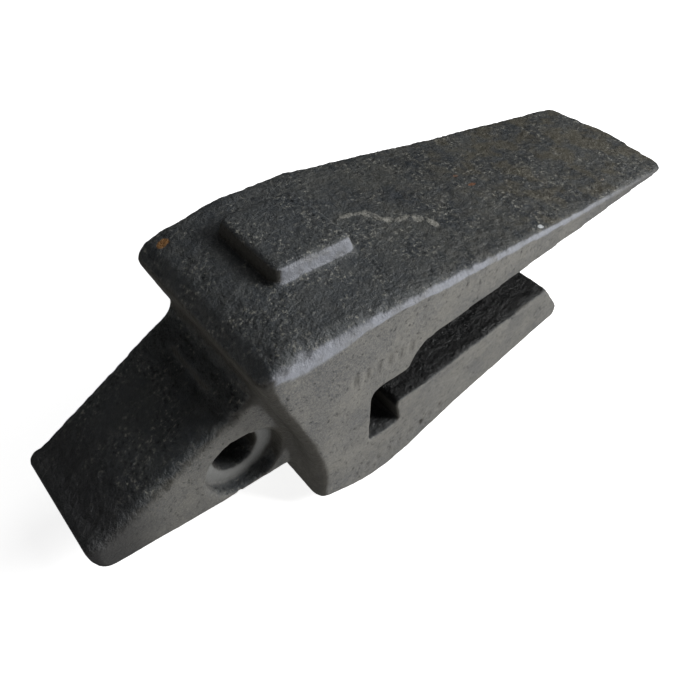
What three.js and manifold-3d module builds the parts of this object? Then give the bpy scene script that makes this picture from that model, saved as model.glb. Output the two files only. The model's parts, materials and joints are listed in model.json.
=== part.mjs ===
// Weld-on excavator tooth adapter: one steel casting.
// Millimetres, +Z up, +X from the nose tip towards the strap ends, Y across the lip.
// Lengths along X are set out from the shoulder, the top front edge of the body, and
// heights from the lowest line of the underside. The mesh is moved to its own centre last.

import * as THREE from "three";
import { mergeVertices } from "three/addons/utils/BufferGeometryUtils.js";
import Module from "manifold-3d";

const wasm = await Module();
wasm.setup();

// ---------------------------------------------------------------- driving sizes

const STRAP_REACH = 320; // shoulder to the rear end of the long upper strap
const STRAP_CROWN = 4; // how far the middle of that end stands behind its corners
const STRAP_TIP_THICKNESS = 3;
const STRAP_TIP_CORNER = 7; // corner radius of the strap end, seen from above
const STRAP_RIDGE = 1.2; // rise of the strap's centre line above its two edges

const LIP_GAP = 36.5; // opening for a 35 mm lip plate
const LOWER_SEAT = 56.7; // height of the lower strap's inner face
const STEP_LENGTH = 14; // how far the upper seat steps back from the pocket
const STEP_RISE = 14; // height of that step
const POCKET_FRONT = 57.7; // front wall of the slot
const POCKET_FLOOR = 38; // bottom of the pocket below the lower seat
const POCKET_LENGTH = 20; // front wall to the front edge of the lower seat
const POCKET_ROOF_LENGTH = 22; // front wall to the foot of the upper seat's step
const POCKET_RADIUS = 6;
const SLOT_ROUNDING = 3; // rounding of the slot's small corners

const LOWER_STRAP_REACH = 226; // shoulder to the rear end of the short lower strap
const LOWER_END_SLOPE = 21; // set-back of the top of that end from its bottom
const LOWER_END_HEIGHT = 28; // height of the lower corner of that end
const LOWER_END_BULGE = 1; // how far the rounded corner stands out behind the end

const BODY_TOP = 132.4; // height of the body's flat top
const SHOULDER_HEIGHT = 121; // height of the top front edge
const BODY_HALF = 59.8; // half width where the body is widest
const SHOULDER_HALF = BODY_HALF - 4.6; // half width at the shoulder
const BODY_WIDEST = 90; // distance of that place from the shoulder
const FRONT_FOOT = 24; // distance of the front face's foot from the shoulder
const STRAP_END_HALF = BODY_HALF - 13.4;
const EDGE_RADIUS = 8; // rounding of the body's upper edges

const NOSE_LENGTH = 86.8;
const NOSE_TIP_HALF = 35;
const NOSE_ROOT_HALF = 38.4;
const NOSE_TIP_BOTTOM = 31.6;
const NOSE_ROOT_BOTTOM = 27;
const NOSE_LAND_HEIGHT = 53.6; // height of the small land behind the tip
const NOSE_LAND_LENGTH = 7.5;
const NOSE_SLOPE = 0.52; // rise over run of the nose's top face
const NOSE_TIP_CORNER = 6;
const NOSE_EDGE_RADIUS = 7;
const NOSE_UNDER_RADIUS = 5;
const ROOT_FILLET = 8; // fillet between the nose's top and the body
const ROOT_SIDE_FILLET = 5; // rise of the same fillet on the nose's two sides
const ROOT_SINK = 0.6; // how far the fillet's end is sunk behind the body's front face

const RECESS_HALF = 17;
const RECESS_REAR = -7;
const RECESS_LENGTH = 48;
const RECESS_DEPTH = 3.2; // depth at the recess's rear end; it runs out to nothing in front

const BORE_X = -4.6;
const BORE_Z = 51.7;
const BORE_DIAMETER = 26;
const RETAINER_SEAT_DIAMETER = 44;
const RETAINER_SEAT_DEPTH = 9.5; // measured from the nose's side at the bore

const LUG_MIDDLE = 58;
const LUG_LENGTH = 43;
const LUG_WIDTH = 47;
const LUG_OFFSET = 7; // distance of the lug's middle from the casting's, to +Y
const LUG_HEIGHT = 7.5; // above the body's flat top, at the lug's middle
const LUG_TILT = 0.06; // fall over run of the lug's top face, to the rear
const LUG_DRAFT = 0.24; // set-back over height of the lug's four sides
const LUG_CORNER = 4;

// ---------------------------------------------------------------- helpers

/** Value at x of a broken line given as [x, value] pairs. */
function along(line, x) {
  const last = line.length - 1;
  if (x <= line[0][0]) return line[0][1];
  for (let i = 0; i < last; i += 1) {
    const [x0, v0] = line[i];
    const [x1, v1] = line[i + 1];
    if (x <= x1) return v0 + ((v1 - v0) * (x - x0)) / (x1 - x0);
  }
  return line[last][1];
}

/** How far a round corner of this radius stands in from its side, at a distance behind its front. */
function cornerInset(radius, distance) {
  const left = Math.max(0, radius - Math.max(0, distance));
  return radius - Math.sqrt(radius * radius - left * left);
}

/** Closed BufferGeometry to Manifold. */
function solid(geometry) {
  const bare = geometry.clone();
  bare.deleteAttribute("normal");
  bare.deleteAttribute("uv");
  const merged = mergeVertices(bare, 1e-4);
  const vertProperties = new Float32Array(merged.attributes.position.array);
  const triVerts = new Uint32Array(merged.index.array);
  return new wasm.Manifold(new wasm.Mesh({ numProp: 3, vertProperties, triVerts }));
}

/** Manifold back to BufferGeometry, with flat shading. */
function geometryOf(manifold) {
  const mesh = manifold.getMesh();
  const indexed = new THREE.BufferGeometry();
  indexed.setAttribute("position", new THREE.BufferAttribute(mesh.vertProperties, 3));
  indexed.setIndex(new THREE.BufferAttribute(mesh.triVerts, 1));
  const flat = indexed.toNonIndexed();
  flat.computeVertexNormals();
  return flat;
}

/** Solid of a side view, drawn in X and Z, as wide as the two Y values say. */
function sideSolid(shape, y0, y1, curveSegments = 8) {
  const geometry = new THREE.ExtrudeGeometry(shape, { depth: y1 - y0, bevelEnabled: false, curveSegments });
  geometry.rotateX(Math.PI / 2);
  geometry.translate(0, y1, 0);
  return solid(geometry);
}

/**
 * Solid swept along X through rounded sections. Each station gives top, bottom, topRadius,
 * bottomRadius and, as functions of the height share from 0 at the bottom to 1 at the top,
 * x and half, the half width there. The optional ridge lifts the middle of the top.
 */
function sweptSolid(stations, sideLevels, cornerSegments = 5) {
  const size = 10;
  const corner = 1;
  const flat = size - corner;
  const section = new THREE.Shape();
  section.moveTo(-flat, -size);
  section.lineTo(flat, -size);
  section.absarc(flat, -flat, corner, -Math.PI / 2, 0);
  for (let i = 1; i < sideLevels; i += 1) section.lineTo(size, -flat + (2 * flat * i) / sideLevels);
  section.absarc(flat, flat, corner, 0, Math.PI / 2);
  section.lineTo(0, size);
  section.absarc(-flat, flat, corner, Math.PI / 2, Math.PI);
  for (let i = 1; i < sideLevels; i += 1) section.lineTo(-size, flat - (2 * flat * i) / sideLevels);
  section.absarc(-flat, -flat, corner, Math.PI, 1.5 * Math.PI);

  const steps = stations.length - 1;
  const geometry = new THREE.ExtrudeGeometry(section, {
    depth: steps,
    steps,
    bevelEnabled: false,
    curveSegments: cornerSegments,
  });
  const points = geometry.attributes.position;
  for (let i = 0; i < points.count; i += 1) {
    const across = points.getX(i);
    const up = points.getY(i);
    const station = stations[Math.round(points.getZ(i))];
    const radius = up > 0 ? station.topRadius : station.bottomRadius;
    const low = station.bottom + station.bottomRadius;
    const high = station.top - station.topRadius;
    const beyond = Math.max(0, Math.abs(up) - flat) * radius;
    let z = low + ((high - low) * (THREE.MathUtils.clamp(up, -flat, flat) + flat)) / (2 * flat);
    z += Math.sign(up) * beyond;
    const share = (z - station.bottom) / (station.top - station.bottom);
    const half = station.half(share);
    const middle = Math.abs(across) < 1e-6;
    const y = middle ? 0 : Math.sign(across) * (half - radius * (size - Math.abs(across)));
    if (middle && up > 0) z += station.ridge ?? 0;
    points.setXYZ(i, station.x(share), y, z);
  }
  return solid(geometry);
}

// ---------------------------------------------------------------- outlines shared by the pieces

const UPPER_SEAT = LOWER_SEAT + LIP_GAP;

/** Half width of the body at x. */
const bodyHalf = (x) =>
  along(
    [
      [0, SHOULDER_HALF],
      [14, SHOULDER_HALF + 0.5 * (BODY_HALF - SHOULDER_HALF)],
      [30, SHOULDER_HALF + 0.85 * (BODY_HALF - SHOULDER_HALF)],
      [55, BODY_HALF],
      [BODY_WIDEST, BODY_HALF],
      [STRAP_REACH - STRAP_CROWN, STRAP_END_HALF],
    ],
    x,
  );

/** Height of the body's top at x. */
const bodyTop = (x) =>
  along(
    [
      [0, SHOULDER_HEIGHT],
      [7, BODY_TOP - 5],
      [16, BODY_TOP - 1.8],
      [29, BODY_TOP],
      [46, BODY_TOP],
      [BODY_WIDEST, BODY_TOP - 3.2],
      [207, UPPER_SEAT + 17.2],
      [STRAP_REACH - STRAP_CROWN, UPPER_SEAT + STRAP_TIP_THICKNESS],
    ],
    x,
  );

/** Height of the underside at x. */
const bodyBottom = (x) =>
  along(
    [
      [FRONT_FOOT, 11.5],
      [31, 8.4],
      [40, 5.2],
      [50, 2.4],
      [60, 0],
      [74, 0],
      [86, 2.6],
      [103, 6.8],
      [121, 10],
      [155, 14.2],
      [200, 18.2],
      [LOWER_STRAP_REACH, 22],
    ],
    x,
  );

/** Distance of the body's front face from the shoulder, at a height. */
const frontFace = (z) =>
  along(
    [
      [8, 24.5],
      [28, 25.5],
      [38, 24.5],
      [52, 22.5],
      [63, 20],
      [74, 16.5],
      [85, 12.5],
      [96, 8.5],
      [105, 5],
      [SHOULDER_HEIGHT, 0],
    ],
    z,
  );

/** Radius of the upright corners between the front face and the sides, at a height. */
const frontCorner = (z) =>
  along(
    [
      [8, 4],
      [20, 6],
      [35, 7],
      [52, 5],
      [80, 4.5],
      [SHOULDER_HEIGHT, 5],
    ],
    z,
  );

/** Half width of the nose at x. */
const noseHalf = (x) =>
  along(
    [
      [-NOSE_LENGTH, NOSE_TIP_HALF],
      [0, NOSE_ROOT_HALF],
    ],
    x,
  );

const noseTop = (x) => NOSE_LAND_HEIGHT + NOSE_SLOPE * (x + NOSE_LENGTH - NOSE_LAND_LENGTH);
const noseBottom = (x) =>
  along(
    [
      [-NOSE_LENGTH, NOSE_TIP_BOTTOM],
      [0, NOSE_ROOT_BOTTOM],
    ],
    x,
  );

// ---------------------------------------------------------------- the body and its two straps

/** Stations behind the front face: they lean with it, and round its upright corners. */
function frontStation(distance) {
  const x = Math.max(0, distance);
  const top = bodyTop(x);
  const bottom = bodyBottom(FRONT_FOOT + x);
  const height = (share) => bottom + share * (top - bottom);
  const reach = (share) => frontFace(height(share)) + distance;
  return {
    top,
    bottom,
    topRadius: 4 + 0.35 * Math.min(x, 20),
    bottomRadius: 3,
    x: reach,
    half: (share) => bodyHalf(reach(share)) - cornerInset(frontCorner(height(share)), distance),
  };
}

/** Stations from the widest place to the strap's end, square across. */
function strapStation(x) {
  const end = STRAP_REACH - STRAP_CROWN;
  const left = Math.max(0, x - (end - STRAP_TIP_CORNER));
  const crown = Math.max(0, x - end) / STRAP_CROWN;
  const corner = crown > 0 ? STRAP_TIP_CORNER : cornerInset(STRAP_TIP_CORNER, STRAP_TIP_CORNER - left);
  const half = crown > 0 ? (STRAP_END_HALF - STRAP_TIP_CORNER) * (1 - 0.85 * crown) : bodyHalf(x) - corner;
  return {
    top: bodyTop(x),
    bottom: bodyBottom(x),
    topRadius: along(
      [
        [40, EDGE_RADIUS],
        [BODY_WIDEST, 0.65 * EDGE_RADIUS],
        [150, 0.4 * EDGE_RADIUS],
        [end, 1.2],
      ],
      x,
    ),
    bottomRadius: 3,
    ridge: along(
      [
        [BODY_WIDEST, 0],
        [200, STRAP_RIDGE],
        [end - 40, STRAP_RIDGE],
        [STRAP_REACH, 0.3],
      ],
      x,
    ),
    x: () => x,
    half: () => half,
  };
}

/** The body before its slot is cut. */
function bodyBlank() {
  const front = [-6, 0, 1, 2.5, 4.5, 7, 10, 14, 20].map(frontStation);
  const end = STRAP_REACH - STRAP_CROWN;
  const corners = [1, 0.6, 0.35, 0.15, 0].map((share) => end - share * STRAP_TIP_CORNER);
  const rear = [50, 60, 74, BODY_WIDEST, 103, 121, 150, 180, 207, 240, 275, ...corners, end + 2, STRAP_REACH];
  return sweptSolid([...front, ...rear.map(strapStation)], 10);
}

/** Everything in front of the body's front face, as a cutter. */
function frontCutter() {
  const shape = new THREE.Shape();
  const heights = [-5, 8, 14, 23, 38, 52, 63, 74, 85, 96, SHOULDER_HEIGHT, BODY_TOP + 10];
  shape.moveTo(-40, -5);
  heights.forEach((z) => shape.lineTo(frontFace(z), z));
  shape.lineTo(-40, BODY_TOP + 10);
  return sideSolid(shape, -2 * BODY_HALF, 2 * BODY_HALF);
}

/** The lip slot and the open space behind the lower strap, as a cutter. */
function slotCutter() {
  const pocketTop = UPPER_SEAT - STEP_RISE;
  const step = POCKET_FRONT + POCKET_ROOF_LENGTH;
  const seat = step + STEP_LENGTH;
  const lean = SLOT_ROUNDING / 2;
  const lowerStart = POCKET_FRONT + POCKET_LENGTH;
  const lowerEnd = LOWER_STRAP_REACH - LOWER_END_BULGE;
  const endTop = LOWER_STRAP_REACH - LOWER_END_SLOPE;
  const far = STRAP_REACH + BODY_HALF;
  const shape = new THREE.Shape();
  shape.moveTo(POCKET_FRONT, POCKET_FLOOR + SLOT_ROUNDING);
  shape.quadraticCurveTo(POCKET_FRONT, POCKET_FLOOR, POCKET_FRONT + SLOT_ROUNDING, POCKET_FLOOR);
  shape.lineTo(lowerStart + lean, POCKET_FLOOR + 1);
  shape.lineTo(lowerStart - lean, LOWER_SEAT - SLOT_ROUNDING);
  shape.quadraticCurveTo(lowerStart - lean, LOWER_SEAT, lowerStart + lean, LOWER_SEAT);
  shape.lineTo(endTop, LOWER_SEAT);
  shape.lineTo(lowerEnd, LOWER_END_HEIGHT + SLOT_ROUNDING);
  shape.quadraticCurveTo(
    LOWER_STRAP_REACH + LOWER_END_BULGE,
    LOWER_END_HEIGHT - lean,
    lowerEnd - lean,
    LOWER_END_HEIGHT - 2.5 * SLOT_ROUNDING,
  );
  shape.lineTo(lowerEnd - lean, -BODY_HALF);
  shape.lineTo(far, -BODY_HALF);
  shape.lineTo(far, UPPER_SEAT);
  shape.lineTo(seat, UPPER_SEAT);
  shape.bezierCurveTo(
    seat - STEP_LENGTH / 2,
    UPPER_SEAT,
    step + STEP_LENGTH / 3,
    pocketTop,
    step,
    pocketTop,
  );
  shape.lineTo(POCKET_FRONT + POCKET_RADIUS, pocketTop);
  shape.quadraticCurveTo(POCKET_FRONT, pocketTop, POCKET_FRONT, pocketTop - 1.6 * POCKET_RADIUS);
  return sideSolid(shape, -2 * BODY_HALF, 2 * BODY_HALF, 6);
}

// ---------------------------------------------------------------- the nose

/** Stations of the round tip: share of the corner radius behind the front, bottom, top, edge radius. */
const NOSE_TIP = [
  [0, 14.4, -4, 1.2],
  [0.1, 10.9, -2.7, 1.8],
  [0.27, 7.4, -1.6, 2.8],
  [0.5, 3.9, -0.8, 4],
  [0.8, 1.6, -0.2, 5],
  [1.17, 0.4, 0.2, 6],
];

function noseTipStation([share, lift, drop, radius]) {
  const distance = share * NOSE_TIP_CORNER;
  const x = distance - NOSE_LENGTH;
  return {
    top: NOSE_LAND_HEIGHT + drop,
    bottom: noseBottom(x) + lift,
    topRadius: radius,
    bottomRadius: Math.min(radius, NOSE_UNDER_RADIUS),
    x: () => x,
    half: () => noseHalf(x) - cornerInset(NOSE_TIP_CORNER, distance),
  };
}

/** Stations between the tip and the root fillet; the root end leans with the body's front face. */
function noseStation(lean, x) {
  const top = noseTop(x);
  const leaned = (z) => x + lean * (frontFace(z) - frontFace(top));
  const bottom = noseBottom(leaned(noseBottom(x)));
  const reach = (share) => leaned(bottom + share * (top - bottom));
  return {
    top,
    bottom,
    topRadius: NOSE_EDGE_RADIUS,
    bottomRadius: NOSE_UNDER_RADIUS,
    x: reach,
    half: (share) => noseHalf(reach(share)),
  };
}

/** Where the nose's top, run on, meets the body's front face. */
function rootTop() {
  let x = 0;
  for (let i = 0; i < 12; i += 1) x = frontFace(noseTop(x));
  return x;
}

const ROOT_TOP = rootTop();

/** Stations of the root fillet, at an angle from 0 where it leaves the nose to 1 at the body. */
function rootStation(turn) {
  const angle = (turn * Math.PI) / 2;
  const share = 1 - Math.cos(angle);
  const x = ROOT_TOP + ROOT_SINK - ROOT_FILLET * (1 - Math.sin(angle));
  const station = noseStation(1, x);
  return {
    ...station,
    top: station.top + ROOT_FILLET * share,
    bottom: station.bottom - ROOT_SIDE_FILLET * share,
    half: (height) => station.half(height) + ROOT_SIDE_FILLET * share,
  };
}

function noseBlank() {
  const start = ROOT_TOP - ROOT_FILLET;
  const straight = [-76, -60, -45, -30, -18].map((x, i) => noseStation(Math.max(0, i - 2) / 3, x));
  const fillet = [0, 0.2, 0.4, 0.6, 0.8, 1].map(rootStation);
  const inside = rootStation(1);
  const buried = { ...inside, x: (share) => inside.x(share) + 8 };
  return sweptSolid(
    [...NOSE_TIP.map(noseTipStation), ...straight, noseStation(1, start - 2), ...fillet, buried],
    8,
  );
}

/** Shallow recess in the nose's top, deepest at the rear, as a cutter. */
function recessCutter() {
  const rear = RECESS_REAR;
  const front = rear - RECESS_LENGTH;
  const floor = (x) => noseTop(x) - (RECESS_DEPTH * (x - front)) / RECESS_LENGTH;
  const shape = new THREE.Shape();
  shape.moveTo(-RECESS_HALF, 0);
  shape.lineTo(RECESS_HALF, 0);
  shape.lineTo(RECESS_HALF + 12, 12);
  shape.lineTo(-RECESS_HALF - 12, 12);
  const geometry = new THREE.ExtrudeGeometry(shape, { depth: 1, steps: 1, bevelEnabled: false });
  const points = geometry.attributes.position;
  for (let i = 0; i < points.count; i += 1) {
    const up = points.getY(i);
    const atRear = points.getZ(i) > 0.5;
    const x = atRear ? rear + 0.35 * up : front;
    points.setXYZ(i, x, points.getX(i), floor(atRear ? rear : front) + up);
  }
  return solid(geometry);
}

/** Pin bore right through the nose, with the retainer's seat on the -Y side. */
function boreCutter() {
  const bore = new THREE.CylinderGeometry(BORE_DIAMETER / 2, BORE_DIAMETER / 2, 4 * NOSE_ROOT_HALF, 48);
  const side = noseHalf(BORE_X);
  const outer = side + ROOT_FILLET;
  const inner = side - RETAINER_SEAT_DEPTH;
  const radius = RETAINER_SEAT_DIAMETER / 2;
  const seat = new THREE.CylinderGeometry(radius, radius, outer - inner, 64);
  seat.translate(0, -(outer + inner) / 2, 0);
  const cutter = solid(bore).add(solid(seat));
  return cutter.translate(BORE_X, 0, BORE_Z);
}

// ---------------------------------------------------------------- the lug

/** Raised lug on the body's top, with drafted sides and a slightly tilted top. */
function lug() {
  const sunk = 10;
  const height = sunk + LUG_HEIGHT;
  const edge = 1;
  const levels = [
    [0, 0],
    [height - edge, 0],
    [height, edge],
  ];
  const length = LUG_LENGTH / 2;
  const width = LUG_WIDTH / 2;
  const outline = new THREE.Shape();
  outline.moveTo(-length + LUG_CORNER, -width);
  outline.absarc(length - LUG_CORNER, -width + LUG_CORNER, LUG_CORNER, -Math.PI / 2, 0);
  outline.absarc(length - LUG_CORNER, width - LUG_CORNER, LUG_CORNER, 0, Math.PI / 2);
  outline.absarc(-length + LUG_CORNER, width - LUG_CORNER, LUG_CORNER, Math.PI / 2, Math.PI);
  outline.absarc(-length + LUG_CORNER, -width + LUG_CORNER, LUG_CORNER, Math.PI, 1.5 * Math.PI);
  const geometry = new THREE.ExtrudeGeometry(outline, {
    depth: levels.length - 1,
    steps: levels.length - 1,
    bevelEnabled: false,
    curveSegments: 4,
  });
  const points = geometry.attributes.position;
  for (let i = 0; i < points.count; i += 1) {
    const [level, inset] = levels[Math.round(points.getZ(i))];
    const spread = LUG_DRAFT * (height - level) - inset;
    const x = points.getX(i) * (1 + spread / length);
    const y = points.getY(i) * (1 + spread / width);
    const tilt = level > 0 ? LUG_TILT * x : 0;
    points.setXYZ(i, LUG_MIDDLE + x, LUG_OFFSET + y, BODY_TOP - sunk + level - tilt);
  }
  return solid(geometry);
}

// ---------------------------------------------------------------- the casting

const body = bodyBlank().subtract(frontCutter());
const nose = noseBlank().subtract(recessCutter());
const casting = body.add(nose).add(lug()).subtract(slotCutter()).subtract(boreCutter());

const castSteel = new THREE.MeshStandardMaterial({ color: 0x3c3d3e, roughness: 0.55, metalness: 0.2 });
const adapter = new THREE.Mesh(geometryOf(casting), castSteel);
adapter.name = "adapter_casting";
adapter.position.x = (NOSE_LENGTH - STRAP_REACH) / 2;

const part = new THREE.Group();
part.add(adapter);

export default part;
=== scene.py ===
"""Looks of the bucket tooth adapter: its cast skin, paint, floor, lights and camera.

Metres, in the part's own frame: +X runs from the nose tip to the strap ends, +Z is up, and
the object stands on z = 0. Places on the object come from its box, and from the record's
mounts and openings. The near side is the one towards -Y.
"""

import json
import math

import bmesh
import bpy
import numpy as np
from mathutils import Matrix, Vector, noise


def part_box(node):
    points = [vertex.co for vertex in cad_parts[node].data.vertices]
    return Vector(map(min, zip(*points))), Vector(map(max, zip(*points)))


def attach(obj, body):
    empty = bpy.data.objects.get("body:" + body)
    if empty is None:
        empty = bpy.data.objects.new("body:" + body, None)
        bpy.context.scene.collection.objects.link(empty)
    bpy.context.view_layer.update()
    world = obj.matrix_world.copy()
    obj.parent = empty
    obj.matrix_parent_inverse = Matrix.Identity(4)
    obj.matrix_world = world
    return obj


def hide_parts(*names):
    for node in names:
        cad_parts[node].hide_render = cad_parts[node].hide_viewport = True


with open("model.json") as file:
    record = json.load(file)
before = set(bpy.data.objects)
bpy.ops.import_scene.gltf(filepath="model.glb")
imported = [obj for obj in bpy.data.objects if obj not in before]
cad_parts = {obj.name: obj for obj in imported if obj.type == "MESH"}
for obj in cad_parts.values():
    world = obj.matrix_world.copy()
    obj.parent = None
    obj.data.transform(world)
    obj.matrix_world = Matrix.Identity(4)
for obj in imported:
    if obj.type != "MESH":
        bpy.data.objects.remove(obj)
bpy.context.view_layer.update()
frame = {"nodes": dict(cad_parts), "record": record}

MM = 0.001
CASTING = "adapter_casting"
LOW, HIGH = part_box(CASTING)
SHOULDER_X = LOW.x + 86.8 * MM  # top front edge of the body, behind the nose
OPENINGS = {opening["name"]: opening["box_m"] for opening in frame["record"]["physics"]["openings"]}
MOUNTS = {mount["name"]: Vector(mount["pos_m"]) for mount in frame["record"]["mounts"]}


# ---------------------------------------------------------------- the cast skin

VOXEL = 1.52 * MM  # size of the skin's faces
SMOOTHING_ROUNDS = 4
PEBBLE_SIZE = 4.2 * MM  # spacing of the sand-cast pebbles
PEBBLE_HEIGHT = 0.46 * MM
SWELL_SIZE = 30 * MM  # spacing of the slow waves of the surface
SWELL_HEIGHT = 0.5 * MM
SWELL_OFFSET = Vector((7, 3, 1))  # keeps the waves apart from the pebbles
SWELLING = 0.35 * MM  # makes up for what the smoothing takes off
SIDE_ROUGHNESS = 0.35  # how pebbly the sides are, where the top is 1
LUG_HALF_LENGTH = 22 * MM
LUG_HALF_WIDTH = 24 * MM
MARK_DEPTH = 1.3 * MM
MARK_EDGE = 0.9 * MM  # softness of the edge of a pressed mark
RIDGE_HEIGHT = 0.5 * MM
RIDGE_WIDTH = 1.3 * MM


def place(x, y, z):
    """A point given in millimetres from the shoulder, the middle plane and the ground."""
    return Vector((SHOULDER_X + x * MM, y * MM, z * MM))


def bar_depth(point, centre, length, width):
    """1 inside an upright round-ended bar on the near side, 0 outside, with a soft edge."""
    beyond = max(0.0, abs(point.z - centre.z) - (length - width) / 2)
    reach = math.hypot(beyond, point.x - centre.x)
    return 1 - share_between(reach - width / 2, -MARK_EDGE, MARK_EDGE)


def cast_mark_bars():
    """Two rows of plain, evenly spaced, upright bars: each one's centre, length and width."""
    upper = [(place(47 + 7 * i, 0, 96), 9 * MM, 2.8 * MM) for i in range(6)]
    lower = [(place(49 + 8 * i, 0, 13 + 1.2 * i), 5 * MM, 3 * MM) for i in range(9)]
    return upper + lower


def mark_depth(point, normal, bars):
    """Depth of the pressed bars at a point, which is 0 away from the near side."""
    if normal.y > -0.8:
        return 0.0
    shares = [bar_depth(point, *bar) for bar in bars]
    return MARK_DEPTH * max(shares)


def remeshed_skin(source):
    """The CAD casting as one even mesh with slightly rounded edges."""
    mesh = bmesh.new()
    mesh.from_mesh(source.data)
    bmesh.ops.remove_doubles(mesh, verts=mesh.verts, dist=1e-6)
    data = bpy.data.meshes.new("cast_skin")
    mesh.to_mesh(data)
    mesh.free()
    skin = bpy.data.objects.new("cast_skin", data)
    bpy.context.scene.collection.objects.link(skin)
    remesh = skin.modifiers.new("remesh", "REMESH")
    remesh.mode = "VOXEL"
    remesh.voxel_size = VOXEL
    smooth = skin.modifiers.new("smooth", "SMOOTH")
    smooth.factor = 0.5
    smooth.iterations = SMOOTHING_ROUNDS
    shown = skin.evaluated_get(bpy.context.evaluated_depsgraph_get())
    result = bpy.data.meshes.new_from_object(shown)
    skin.modifiers.clear()
    skin.data = result
    return skin


def share_between(value, low, high):
    """0 below low, 1 above high, smooth in between."""
    t = min(1.0, max(0.0, (value - low) / (high - low)))
    return t * t * (3 - 2 * t)


def roughness_share(point, normal):
    """How pebbly the sand skin is: fully on the top, weakly on the sides and the lug."""
    up = share_between(normal.z, 0.2, 0.75)
    side = SIDE_ROUGHNESS * (1 - up)
    lug = MOUNTS["lug_top"]
    near_lug = max(abs(point.x - lug.x) - LUG_HALF_LENGTH, abs(point.y - lug.y) - LUG_HALF_WIDTH)
    on_lug = share_between(point.z, HIGH.z - 9 * MM, HIGH.z - 6 * MM)
    smooth_lug = on_lug * (1 - share_between(near_lug, 0, 3 * MM))
    return (up + side) * (1 - 0.75 * smooth_lug)


# A raised casting line on the top: from the lug's rear corner, backwards and to the near side.
RIDGE_TURNS = ((92, 8), (99, 6), (104, 5), (108, 1), (110, -5), (115, -8), (125, -10), (130, -16), (133, -24))
RIDGE_LINE = [place(x, y, 0) for x, y in RIDGE_TURNS]


def ridge_distance(point):
    """Distance on the plan from the casting ridge."""
    nearest = 1.0
    for start, end in zip(RIDGE_LINE, RIDGE_LINE[1:]):
        run = (end - start).xy
        t = min(1.0, max(0.0, (point.xy - start.xy).dot(run) / run.length_squared))
        nearest = min(nearest, (point.xy - start.xy - t * run).length)
    return nearest


def ridge_height(point, normal):
    """Height of the casting ridge at a point, which is 0 away from the top."""
    if normal.z < 0.8 or point.z < HIGH.z - 25 * MM:
        return 0.0
    return RIDGE_HEIGHT * (1 - share_between(ridge_distance(point), 0.3 * RIDGE_WIDTH, RIDGE_WIDTH))


def weather(skin):
    """Moves the skin's points in or out by the pebbles, slow waves, pressed bars and ridge."""
    mesh = skin.data
    points = [vertex.co.copy() for vertex in mesh.vertices]
    normals = [vertex.normal.copy() for vertex in mesh.vertices]
    moved_points = np.empty((len(points), 3), np.float32)
    bars = cast_mark_bars()
    for i, (point, normal) in enumerate(zip(points, normals)):
        pebble = noise.noise(point / PEBBLE_SIZE) + 0.5 * noise.noise(point / (0.45 * PEBBLE_SIZE))
        swell = noise.noise(point / SWELL_SIZE + SWELL_OFFSET)
        share = roughness_share(point, normal)
        shift = PEBBLE_HEIGHT * share * pebble + SWELL_HEIGHT * (0.4 + 0.6 * share) * swell
        shift += SWELLING - mark_depth(point, normal, bars) + ridge_height(point, normal)
        moved_points[i] = point + normal * shift
    moved_points = np.clip(moved_points, LOW, HIGH)
    mesh.vertices.foreach_set("co", moved_points.ravel())
    mesh.update()
    for face in mesh.polygons:
        face.use_smooth = True


# ---------------------------------------------------------------- paint

TOP_DARK = (0.018, 0.023, 0.029, 1)
TOP_GREY = (0.058, 0.061, 0.058, 1)
TOP_BLOTCH = (0.078, 0.075, 0.064, 1)
# Painted light: a paler tone for the front of the top.
TOP_FRONT_PAINTED_LIGHT = (0.068, 0.075, 0.080, 1)
GRAIN_LIGHT = (0.29, 0.285, 0.25, 1)
GRAIN_DARK = (0.006, 0.007, 0.008, 1)
STRAP_OLIVE = (0.085, 0.073, 0.045, 1)
SIDE_DARK = (0.084, 0.086, 0.088, 1)
SIDE_GREY = (0.138, 0.135, 0.124, 1)
SIDE_DUST = (0.205, 0.196, 0.172, 1)
SIDE_PIT = (0.03, 0.03, 0.029, 1)
SIDE_REAR = (0.06, 0.061, 0.063, 1)
EDGE_SHEEN = (0.215, 0.225, 0.25, 1)
# A brown tint together with painted shade, for faces turned to the nose's end.
FRONT_BROWN_AND_SHADE = (0.047, 0.044, 0.037, 1)
# Painted shade for the nose's sides.
NOSE_SIDE_SHADE = (0.06, 0.058, 0.05, 1)
SLOT_DARK = (0.0035, 0.0038, 0.004, 1)
# Painted light for the floor of the seat around the bore.
SEAT_FLOOR_LIGHT = (0.21, 0.213, 0.207, 1)
BORE_DARK = (0.012, 0.012, 0.011, 1)
# Painted shade for the nose's tip.
TIP_SHADE = (0.026, 0.026, 0.027, 1)
RIDGE_CHALK = (0.24, 0.235, 0.21, 1)
RUST = (0.26, 0.13, 0.045, 1)
RUST_PALE = (0.17, 0.085, 0.05, 1)
RUST_DULL = (0.13, 0.075, 0.05, 1)
CHALK = (0.42, 0.44, 0.45, 1)
CHALK_BROWN = (0.2, 0.17, 0.14, 1)
# Small marks on the top: centre, radius, stretch in X, Y and Z, colour.
SPOTS = (
    (place(12, 43.9, 128), 3.2 * MM, (1.1, 0.9, 2), RUST),
    (place(181, -2, 116), 1.7 * MM, (1.8, 0.8, 3), RUST_PALE),
    (place(179, 9.3, 116), 1.3 * MM, (1.4, 1.0, 3), RUST_DULL),
    (place(183, -51, 115.6), 1.6 * MM, (1.4, 0.9, 3), CHALK),
    (place(260, -37.5, 104), 1.0 * MM, (1.4, 0.9, 3), CHALK_BROWN),
)
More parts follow.
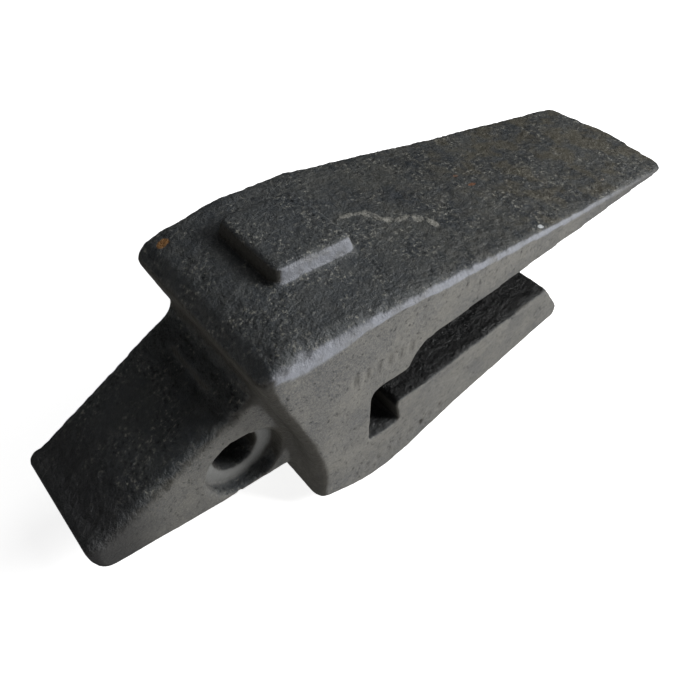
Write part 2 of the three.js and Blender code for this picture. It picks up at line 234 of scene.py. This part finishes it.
# Openings painted nearly black inside: name, how far the paint reaches past the box, strength.
DARK_OPENINGS = (
    ("lip_slot", 4 * MM, 0.97),
    ("slot_front", 4 * MM, 0.97),
    ("slot_pocket", 4.5 * MM, 0.6),
)
OPENING_EDGE = 0.6 * MM  # softness of the edge of that paint
SEAT_RADIUS = 21.5 * MM
BORE_RADIUS = 12.4 * MM
ALONG_BORE = (1, 1000, 1)  # stretches a spot into a rod along Y
GLOSS = 0.42
BUMP_DEPTH = 1.1 * MM


class Nodes:
    """Short calls for building one material's node tree."""

    def __init__(self, name):
        self.material = bpy.data.materials.new(name)
        self.material.use_nodes = True
        self.tree = self.material.node_tree
        self.shader = self.tree.nodes["Principled BSDF"]
        self.place = self.new("ShaderNodeTexCoord").outputs["Object"]
        parts = self.new("ShaderNodeSeparateXYZ")
        self.link(self.place, parts.inputs[0])
        self.along, self.across, self.height = parts.outputs

    def new(self, kind, **settings):
        node = self.tree.nodes.new(kind)
        for name, value in settings.items():
            setattr(node, name, value)
        return node

    def link(self, source, target):
        self.tree.links.new(source, target)

    def set(self, socket, value):
        """Links a socket or sets a plain value."""
        if isinstance(value, bpy.types.NodeSocket):
            self.link(value, socket)
        else:
            socket.default_value = value

    def noise(self, scale, detail=2.0, roughness=0.5, distortion=0.0):
        node = self.new("ShaderNodeTexNoise")
        self.link(self.place, node.inputs["Vector"])
        node.inputs["Scale"].default_value = scale
        node.inputs["Detail"].default_value = detail
        node.inputs["Roughness"].default_value = roughness
        node.inputs["Distortion"].default_value = distortion
        return node.outputs["Fac"]

    def ramp(self, value, low, high, out_low=0.0, out_high=1.0):
        node = self.new("ShaderNodeMapRange", interpolation_type="SMOOTHSTEP")
        self.set(node.inputs["Value"], value)
        for name, number in (
            ("From Min", low),
            ("From Max", high),
            ("To Min", out_low),
            ("To Max", out_high),
        ):
            node.inputs[name].default_value = number
        return node.outputs["Result"]

    def math(self, operation, *values):
        node = self.new("ShaderNodeMath", operation=operation)
        for socket, value in zip(node.inputs, values):
            self.set(socket, value)
        return node.outputs[0]

    def times(self, first, second):
        return self.math("MULTIPLY", first, second)

    def mix(self, factor, first, second):
        node = self.new("ShaderNodeMix", data_type="RGBA")
        self.set(node.inputs["Factor"], factor)
        self.set(node.inputs["A"], first)
        self.set(node.inputs["B"], second)
        return node.outputs["Result"]

    def spot(self, centre, radius, edge, stretch=(1, 1, 1)):
        """1 inside a ragged spot on the surface, 0 outside."""
        moved = self.new("ShaderNodeVectorMath", operation="SUBTRACT")
        self.link(self.place, moved.inputs[0])
        moved.inputs[1].default_value = centre
        scaled = self.new("ShaderNodeVectorMath", operation="DIVIDE")
        self.link(moved.outputs[0], scaled.inputs[0])
        scaled.inputs[1].default_value = stretch
        length = self.new("ShaderNodeVectorMath", operation="LENGTH")
        self.link(scaled.outputs[0], length.inputs[0])
        ragged = self.math("MULTIPLY_ADD", self.noise(900), edge, -0.5 * edge)
        reach = self.math("ADD", length.outputs["Value"], ragged)
        return self.ramp(reach, radius * 0.8, radius * 1.1, 1.0, 0.0)


def facing(nodes):
    """The X, Y and Z parts of the surface's normal."""
    geometry = nodes.new("ShaderNodeNewGeometry")
    parts = nodes.new("ShaderNodeSeparateXYZ")
    nodes.link(geometry.outputs["Normal"], parts.inputs[0])
    return parts.outputs


def opening_share(nodes, name, margin):
    """1 inside one of the record's openings, grown by a margin in X and Z, 0 outside."""
    low, high = OPENINGS[name]
    share = 1.0
    for value, index in ((nodes.along, 0), (nodes.height, 2)):
        centre = (low[index] + high[index]) / 2
        reach = (high[index] - low[index]) / 2 + margin
        distance = nodes.math("ABSOLUTE", nodes.math("SUBTRACT", value, centre))
        inside = nodes.ramp(distance, reach, reach + OPENING_EDGE, 1.0, 0.0)
        share = nodes.times(inside, share)
    return share


def top_paint(nodes, patches, speckle):
    """Dark blue-grey paint with pale and dark grain, some olive on the strap, and painted light that makes
    the top paler towards the front.
    """
    blotches = nodes.ramp(nodes.noise(160, 3, 0.6, 0.4), 0.35, 0.65)
    # Painted light: the top is paler over its front, towards the nose.
    painted_front_light = nodes.ramp(nodes.along, SHOULDER_X + 50 * MM, SHOULDER_X + 140 * MM, 0.5, 0.0)
    sandy = nodes.ramp(nodes.noise(48, 3, 0.6, 0.5), 0.42, 0.62, 0.15, 1.0)
    strap = nodes.ramp(nodes.along, SHOULDER_X + 150 * MM, SHOULDER_X + 200 * MM)
    olive = nodes.ramp(nodes.noise(55, 3, 0.6), 0.45, 0.6, 0.0, 0.45)
    paint = nodes.mix(nodes.ramp(patches, 0.3, 0.7), TOP_DARK, TOP_GREY)
    paint = nodes.mix(nodes.times(blotches, 0.4), paint, TOP_BLOTCH)
    paint = nodes.mix(painted_front_light, paint, TOP_FRONT_PAINTED_LIGHT)
    paint = nodes.mix(nodes.times(nodes.ramp(speckle, 0.53, 0.70), sandy), paint, GRAIN_LIGHT)
    paint = nodes.mix(nodes.times(nodes.ramp(speckle, 0.47, 0.33), sandy), paint, GRAIN_DARK)
    return nodes.mix(nodes.times(strap, olive), paint, STRAP_OLIVE)


def side_paint(nodes, patches, speckle):
    """Dusty grey with small dark pits, darker towards the strap's end; its paleness against the top is partly
    painted light.
    """
    dust = nodes.ramp(nodes.noise(1300, 2, 0.6), 0.4, 0.65)
    rear = nodes.ramp(nodes.along, SHOULDER_X + 210 * MM, SHOULDER_X + 300 * MM, 0.0, 0.6)
    paint = nodes.mix(nodes.ramp(patches, 0.3, 0.7), SIDE_DARK, SIDE_GREY)
    paint = nodes.mix(nodes.times(dust, 0.6), paint, SIDE_DUST)
    paint = nodes.mix(nodes.ramp(speckle, 0.45, 0.30), paint, SIDE_PIT)
    return nodes.mix(rear, paint, SIDE_REAR)


def sheen_share(nodes, normal, across):
    """Pale bands on the slopes along the upper edges, painted as colour in place of the paint's sheen."""
    sloping = nodes.times(nodes.ramp(normal["Z"], 0.06, 0.2), nodes.ramp(normal["Z"], 0.88, 0.6))
    sheen = nodes.times(sloping, nodes.ramp(across, 0.4, 0.75))
    sheen = nodes.times(sheen, nodes.ramp(nodes.height, HIGH.z - 45 * MM, HIGH.z - 30 * MM))
    return nodes.times(sheen, nodes.ramp(nodes.noise(110, 3, 0.6), 0.25, 0.6, 0.4, 1.0))


def front_and_nose(nodes, normal, across_face, colour):
    """A brown tint with painted shade on the faces turned to the nose's end, and painted shade on the nose's
    sides.
    """
    # Brown tint and painted shade on the faces turned to the nose's end.
    front = nodes.ramp(normal["X"], -0.16, -0.42)
    front = nodes.times(front, nodes.ramp(normal["Z"], 0.7, 0.45))
    colour = nodes.mix(nodes.times(front, 0.92), colour, FRONT_BROWN_AND_SHADE)
    # Painted shade on the nose's sides.
    on_nose = nodes.ramp(nodes.along, SHOULDER_X + 2 * MM, SHOULDER_X - 8 * MM)
    return nodes.mix(nodes.times(nodes.times(on_nose, across_face), 0.3), colour, NOSE_SIDE_SHADE)


def openings_paint(nodes, normal, across, colour):
    """Nearly black in the slot and the bore, painted in place of deep shade, and painted light that makes the
    seat's floor pale.
    """
    inner = nodes.ramp(across, 0.75, 0.45)
    for name, margin, strength in DARK_OPENINGS:
        shade = nodes.times(opening_share(nodes, name, margin), inner)
        colour = nodes.mix(nodes.times(shade, strength), colour, SLOT_DARK)
    low, high = (Vector(corner) for corner in OPENINGS["pin_bore"])
    middle = (low + high) / 2
    # Painted light: the floor of the seat around the bore is paler.
    near_face = nodes.ramp(normal["Y"], -0.5, -0.85)
    lit_seat_floor = nodes.times(nodes.spot(middle, SEAT_RADIUS, 0, ALONG_BORE), near_face)
    colour = nodes.mix(nodes.times(lit_seat_floor, 0.8), colour, SEAT_FLOOR_LIGHT)
    in_bore = nodes.spot(middle, BORE_RADIUS, 0, ALONG_BORE)
    return nodes.mix(nodes.times(in_bore, 0.9), colour, BORE_DARK)


def ridge_share(nodes):
    """Broken chalky traces along the casting ridge."""
    ridge = 0.0
    for start, end in zip(RIDGE_LINE, RIDGE_LINE[1:]):
        centre = (start + end) / 2
        centre.z = HIGH.z - 14 * MM
        reach = (abs(end.x - start.x) / 2 + 0.9 * MM, abs(end.y - start.y) / 2 + 0.9 * MM, 12 * MM)
        ridge = nodes.math("MAXIMUM", nodes.spot(centre, 1.0, 0.5, reach), ridge)
    return nodes.times(ridge, nodes.ramp(nodes.noise(300, 3, 0.7), 0.35, 0.6, 0.2, 0.9))


def paint_grain(nodes, normal):
    """Satin gloss and a fine bump, stronger on the top than on the sides."""
    nodes.link(nodes.ramp(nodes.noise(120, 3, 0.6), 0.3, 0.7, 0.34, 0.54), nodes.shader.inputs["Roughness"])
    nodes.shader.inputs["Specular IOR Level"].default_value = GLOSS
    grain = nodes.math("MULTIPLY_ADD", nodes.noise(230, 3, 0.6), 1.6, nodes.noise(620, 4, 0.7))
    bump = nodes.new("ShaderNodeBump")
    bump.inputs["Distance"].default_value = BUMP_DEPTH
    nodes.link(nodes.ramp(normal["Z"], 0.1, 0.7, 0.35, 0.9), bump.inputs["Strength"])
    nodes.link(grain, bump.inputs["Height"])
    nodes.link(bump.outputs["Normal"], nodes.shader.inputs["Normal"])


def cast_paint():
    """Thin dark grey paint over a sand-cast skin: darker and speckled on top, paler and dusty on the sides,
    the paler sides partly painted light.
    """
    nodes = Nodes("painted_cast_steel")
    normal = facing(nodes)
    across = nodes.math("ABSOLUTE", normal["Y"])
    across_face = nodes.ramp(across, 0.5, 0.85)
    patches = nodes.noise(38, 4, 0.65)
    speckle = nodes.noise(440, 4, 0.7)

    # Sides paler than the top: partly the paint's own tone, partly painted light.
    up = nodes.ramp(normal["Z"], 0.35, 0.8)
    colour = nodes.mix(up, side_paint(nodes, patches, speckle), top_paint(nodes, patches, speckle))
    colour = nodes.mix(sheen_share(nodes, normal, across), colour, EDGE_SHEEN)
    colour = front_and_nose(nodes, normal, across_face, colour)
    colour = openings_paint(nodes, normal, across, colour)
    for centre, radius, stretch, paint in SPOTS:
        colour = nodes.mix(nodes.spot(centre, radius, 0.45 * radius, stretch), colour, paint)
    colour = nodes.mix(ridge_share(nodes), colour, RIDGE_CHALK)
    # Painted shade: darker towards the nose's tip.
    tip = nodes.ramp(nodes.along, LOW.x + 12 * MM, LOW.x + 46 * MM, 0.8, 0.0)
    colour = nodes.mix(tip, colour, TIP_SHADE)
    nodes.link(colour, nodes.shader.inputs["Base Color"])
    paint_grain(nodes, normal)
    return nodes.material


# ---------------------------------------------------------------- floor, lights and camera

FLOOR_HALF = 4
FLOOR_GAP = 0.3 * MM
FLOOR_GLOW = 0.84
WORLD_STRENGTH = 0.04
CAMERA_FROM_MIDDLE = Vector((-200.8, -209.9, 270.7)) * MM
CAMERA_TURN = 0.704  # radians, from +Y towards +X
CAMERA_PITCH = 0.841  # radians, downwards
CAMERA_ROLL = 0.019  # radians
CAMERA_LENS = 35.08  # mm, on a sensor 36 mm wide
CAMERA_SENSOR = 36


def floor():
    """A white floor that glows, to stay white under the object. Glossy reflections leave it out."""
    mesh = bmesh.new()
    bmesh.ops.create_grid(mesh, x_segments=1, y_segments=1, size=FLOOR_HALF)
    data = bpy.data.meshes.new("floor")
    mesh.to_mesh(data)
    mesh.free()
    sheet = bpy.data.objects.new("floor", data)
    sheet.location.z = LOW.z - FLOOR_GAP
    sheet.visible_glossy = False
    bpy.context.scene.collection.objects.link(sheet)
    material = bpy.data.materials.new("floor_white")
    material.use_nodes = True
    shader = material.node_tree.nodes["Principled BSDF"]
    shader.inputs["Base Color"].default_value = (0.93, 0.93, 0.93, 1)
    shader.inputs["Roughness"].default_value = 0.9
    shader.inputs["Emission Color"].default_value = (1, 1, 1, 1)
    shader.inputs["Emission Strength"].default_value = FLOOR_GLOW
    data.materials.append(material)


def look_at(obj, target):
    direction = target - obj.location
    obj.rotation_mode = "QUATERNION"
    obj.rotation_quaternion = direction.to_track_quat("-Z", "Y")


def soft_light(name, centre, azimuth, elevation, distance, size, power):
    """A square soft box aimed at centre. Azimuth 0 stands towards -Y, 90 towards +X."""
    data = bpy.data.lights.new(name, "AREA")
    data.shape = "SQUARE"
    data.size = size
    data.energy = power
    light = bpy.data.objects.new(name, data)
    across = math.cos(math.radians(elevation))
    turn = math.radians(azimuth)
    up = math.sin(math.radians(elevation))
    offset = Vector((math.sin(turn) * across, -math.cos(turn) * across, up))
    light.location = centre + distance * offset
    bpy.context.scene.collection.objects.link(light)
    look_at(light, centre)


def lights():
    centre = (LOW + HIGH) / 2
    soft_light("key", centre, azimuth=46, elevation=30, distance=1.3, size=0.55, power=20)
    soft_light("top", centre, azimuth=85, elevation=60, distance=1.8, size=1.0, power=7)
    world = bpy.data.worlds.new("studio")
    world.use_nodes = True
    background = world.node_tree.nodes["Background"]
    background.inputs["Color"].default_value = (1, 1, 1, 1)
    background.inputs["Strength"].default_value = WORLD_STRENGTH
    bpy.context.scene.world = world


def camera():
    """The viewer stands at the nose's near side, close above it."""
    data = bpy.data.cameras.new("camera")
    data.sensor_width = CAMERA_SENSOR
    data.lens = CAMERA_LENS
    data.clip_start = 0.02
    viewer = bpy.data.objects.new("camera", data)
    location = (LOW + HIGH) / 2 + CAMERA_FROM_MIDDLE
    across = Vector((math.sin(CAMERA_TURN), math.cos(CAMERA_TURN), 0))
    forward = across * math.cos(CAMERA_PITCH) - Vector((0, 0, math.sin(CAMERA_PITCH)))
    right = Vector((math.cos(CAMERA_TURN), -math.sin(CAMERA_TURN), 0))
    up = right.cross(forward)
    tilted_right = right * math.cos(CAMERA_ROLL) + up * math.sin(CAMERA_ROLL)
    tilted_up = up * math.cos(CAMERA_ROLL) - right * math.sin(CAMERA_ROLL)
    axes = Matrix((tilted_right, tilted_up, -forward)).transposed()
    viewer.matrix_world = Matrix.Translation(location) @ axes.to_4x4()
    bpy.context.scene.collection.objects.link(viewer)
    bpy.context.scene.camera = viewer


# ---------------------------------------------------------------- the scene

bpy.context.scene.view_settings.view_transform = "Standard"
camera()
floor()
lights()

skin = remeshed_skin(frame["nodes"][CASTING])
weather(skin)
skin.data.materials.clear()
skin.data.materials.append(cast_paint())
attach(skin, "root")
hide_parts(CASTING)
